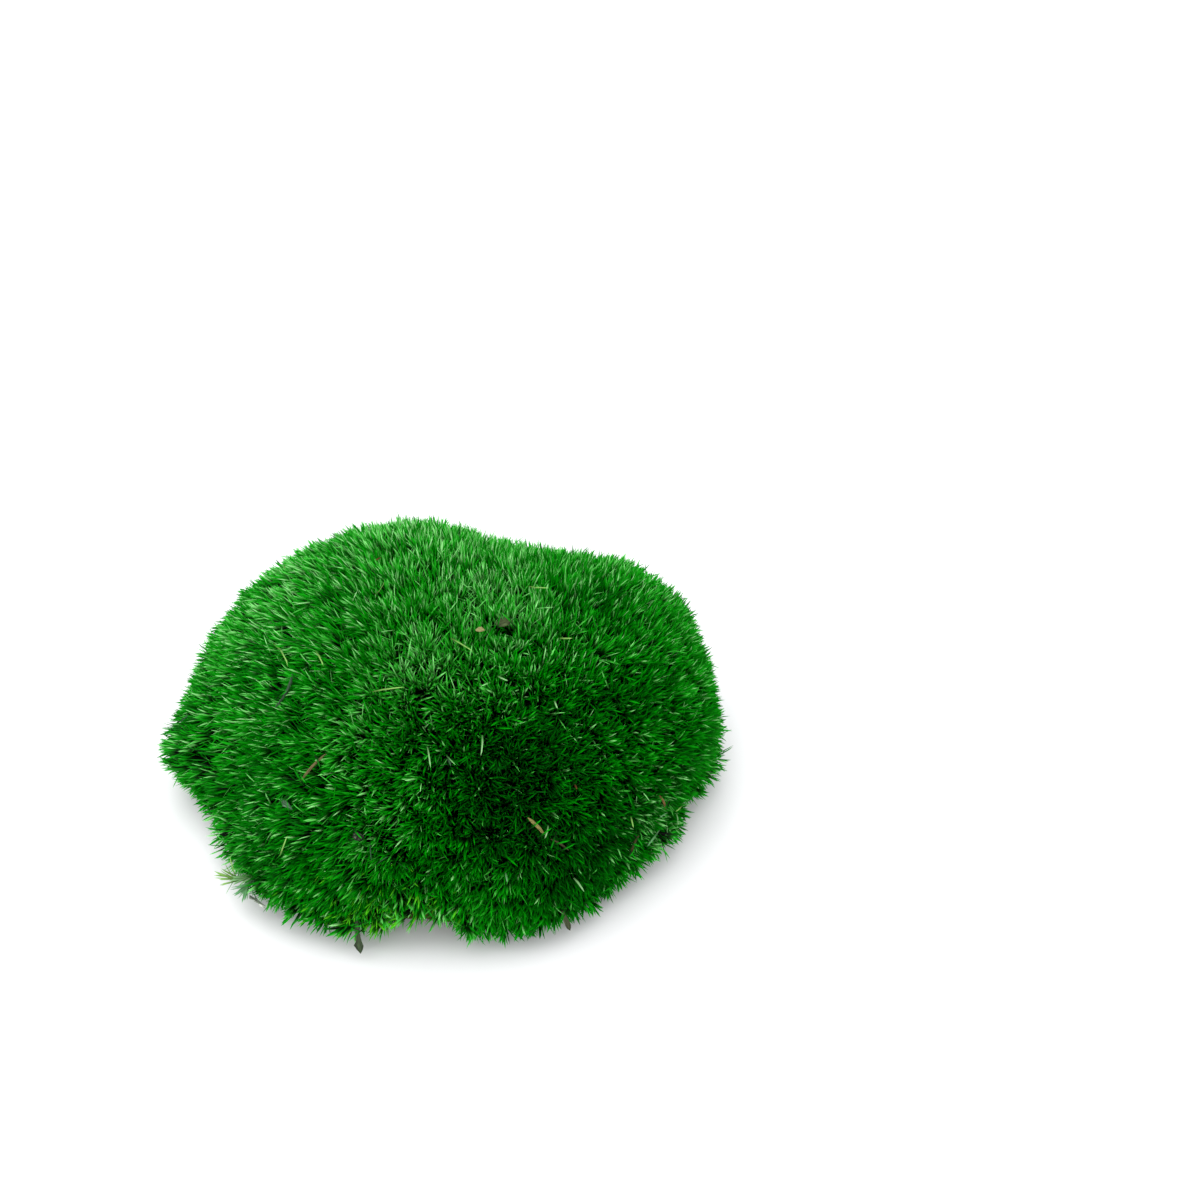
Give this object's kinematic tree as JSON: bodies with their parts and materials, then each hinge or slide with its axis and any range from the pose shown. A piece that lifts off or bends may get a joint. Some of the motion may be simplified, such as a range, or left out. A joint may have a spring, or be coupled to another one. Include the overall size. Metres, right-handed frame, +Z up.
{
  "type": "moss clump",
  "caption": "Low lobed cushion of green moss with dense pointed leaf tufts, resting flat on a brown humus mat, with a few needles, twigs and leaf scraps caught in it.",
  "frame": {"origin": "on the ground, under the middle of the clump's bounding box", "axes": "+X along the clump's length, towards its rounded right end as seen from its front; +Y away from the front; +Z up, out of the flat cut"},
  "size_m": [0.125, 0.1112, 0.0512],
  "materials": {
    "moss_green": "matte",
    "humus_brown": "matte",
    "needle_brown": "matte",
    "needle_tan": "matte",
    "needle_orange": "matte",
    "twig_brown": "matte",
    "twig_grey": "matte",
    "scale_tan": "matte",
    "leaf_brown": "matte",
    "flake_grey": "matte",
    "crumb_dark": "matte",
    "leaf_green_grey": "matte"
  },
  "bodies": {
    "root": {"moss_cushion": "moss_green", "humus_mat": "humus_brown", "brown_needle": "needle_brown", "tan_needle": "needle_tan", "thin_brown_needle": "needle_brown", "orange_needle": "needle_orange", "brown_twig": "twig_brown", "grey_twig": "twig_grey", "seed_scale": "scale_tan", "leaf_scrap": "leaf_brown", "grey_flake": "flake_grey", "bark_flake": "flake_grey", "dark_crumb": "crumb_dark", "front_hanging_leaf": "leaf_green_grey", "right_hanging_leaf": "leaf_green_grey"}
  },
  "joints": []
}
